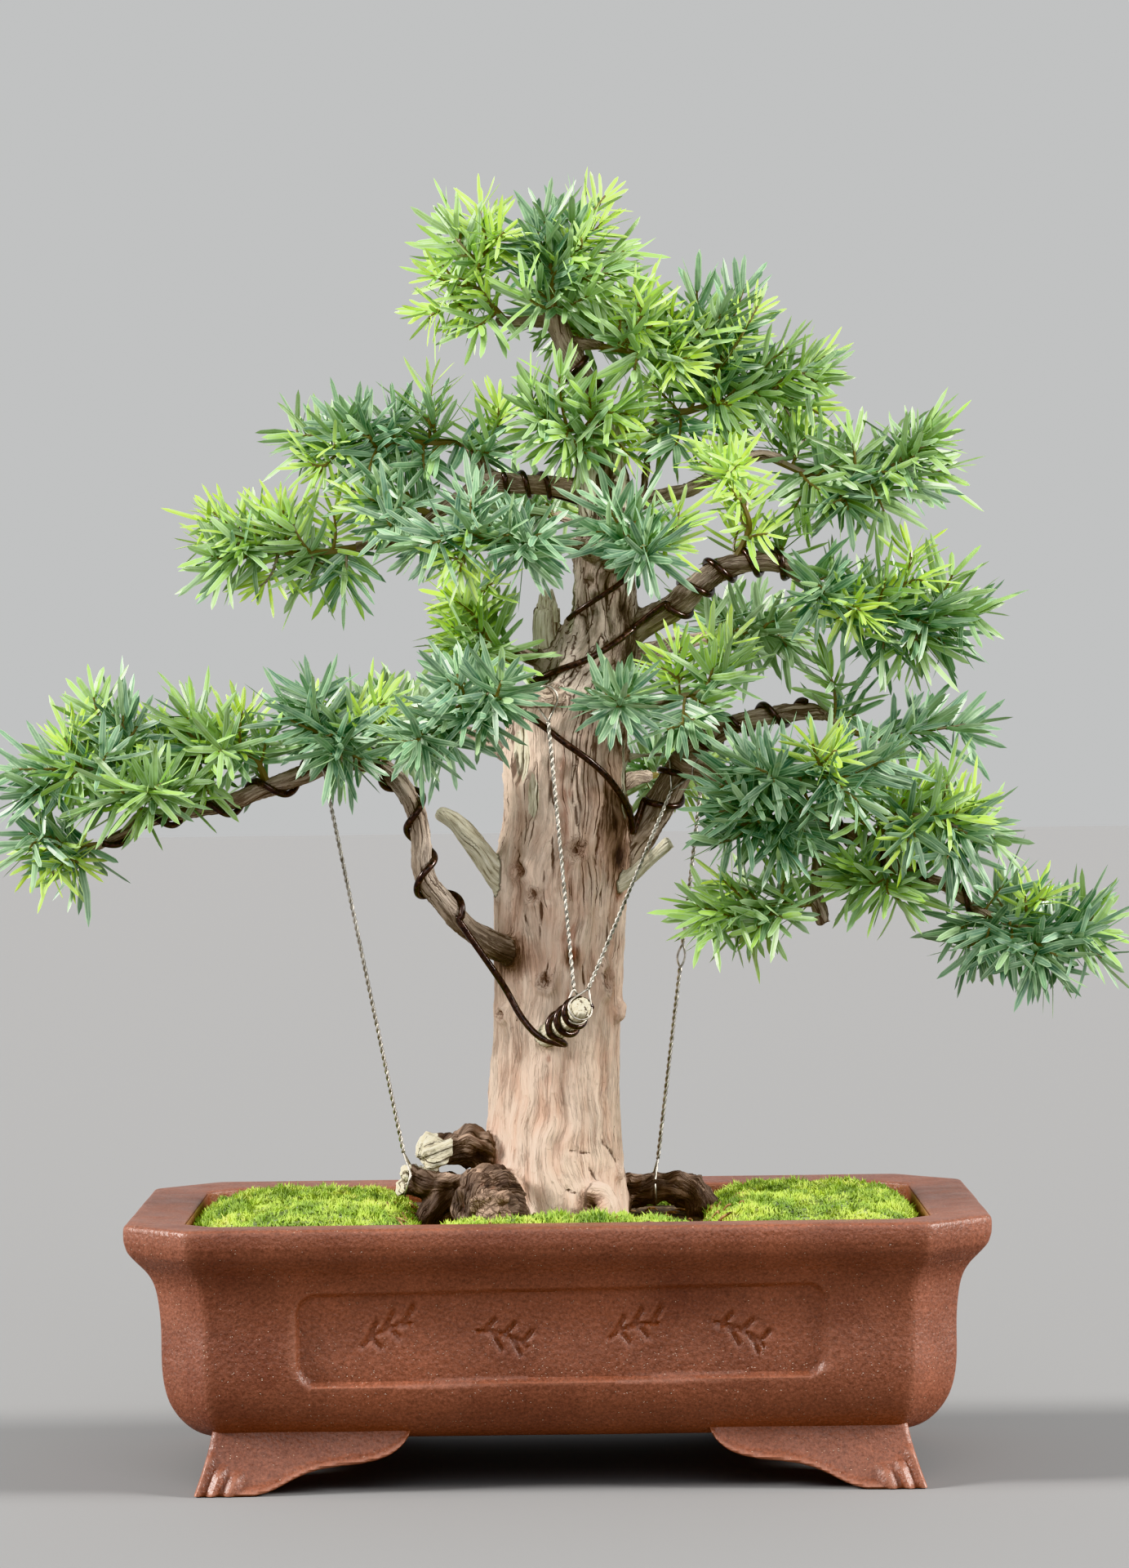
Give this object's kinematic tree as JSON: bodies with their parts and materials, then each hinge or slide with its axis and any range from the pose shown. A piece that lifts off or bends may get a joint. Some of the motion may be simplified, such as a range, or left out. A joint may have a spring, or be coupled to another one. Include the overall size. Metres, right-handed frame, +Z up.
{
  "type": "potted yew bonsai",
  "caption": "Old upright yew bonsai with deadwood stubs, wired branches and flat needle sprays, planted in moss in a rectangular clay pot with cut corners and bracket feet.",
  "frame": {"origin": "on the ground under the middle of the whole plant", "axes": "+Z up, -Y to the front, the long side of the pot along X"},
  "size_m": [0.4297, 0.1918, 0.4808],
  "materials": {
    "clay": "unglazed red-brown stoneware, faint sheen",
    "soil": "damp, crumbly",
    "moss": "soft moss",
    "bark": "old bark and bare deadwood",
    "training_wire": "dark anodised wire",
    "guy_wire": "bare twisted wire",
    "needles": "waxy leaves with a soft sheen"
  },
  "bodies": {
    "root": {"guy_left": "guy_wire", "guy_right": "guy_wire", "guy_stub_left": "guy_wire", "guy_stub_right": "guy_wire", "moss_back": "moss", "moss_front": "moss", "moss_left": "moss", "moss_right": "moss", "pot": "clay", "soil": "soil", "spray_apex_crown": "needles", "spray_apex_left": "needles", "spray_apex_right": "needles", "spray_back_apex": "needles", "spray_back_left": "needles", "spray_back_low": "needles", "spray_back_right": "needles", "spray_back_upper": "needles", "spray_centre_top": "needles", "spray_front_mid": "needles", "spray_front_mid_right": "needles", "spray_front_upper": "needles", "spray_front_upper_right": "needles", "spray_left_tip": "needles", "spray_low_left_inner": "needles", "spray_low_left_mid": "needles", "spray_low_left_outer": "needles", "spray_low_left_tip": "needles", "spray_low_left_under": "needles", "spray_low_right_hang": "needles", "spray_low_right_inner": "needles", "spray_low_right_outer": "needles", "spray_low_right_tip": "needles", "spray_low_right_top": "needles", "spray_low_right_twig": "needles", "spray_low_right_under": "needles", "spray_mid_left": "needles", "spray_mid_right": "needles", "spray_mid_right_bud": "needles", "spray_mid_right_inner": "needles", "spray_rosette_right": "needles", "spray_shoulder": "needles", "spray_upper_left_inner": "needles", "spray_upper_left_top": "needles", "spray_upper_left_under": "needles", "spray_upper_right": "needles", "trunk_and_branches": "bark", "wire_droop": "training_wire", "wire_leader": "training_wire", "wire_low_left": "training_wire", "wire_low_right": "training_wire", "wire_mid_right": "training_wire", "wire_upper_left": "training_wire"}
  },
  "joints": []
}
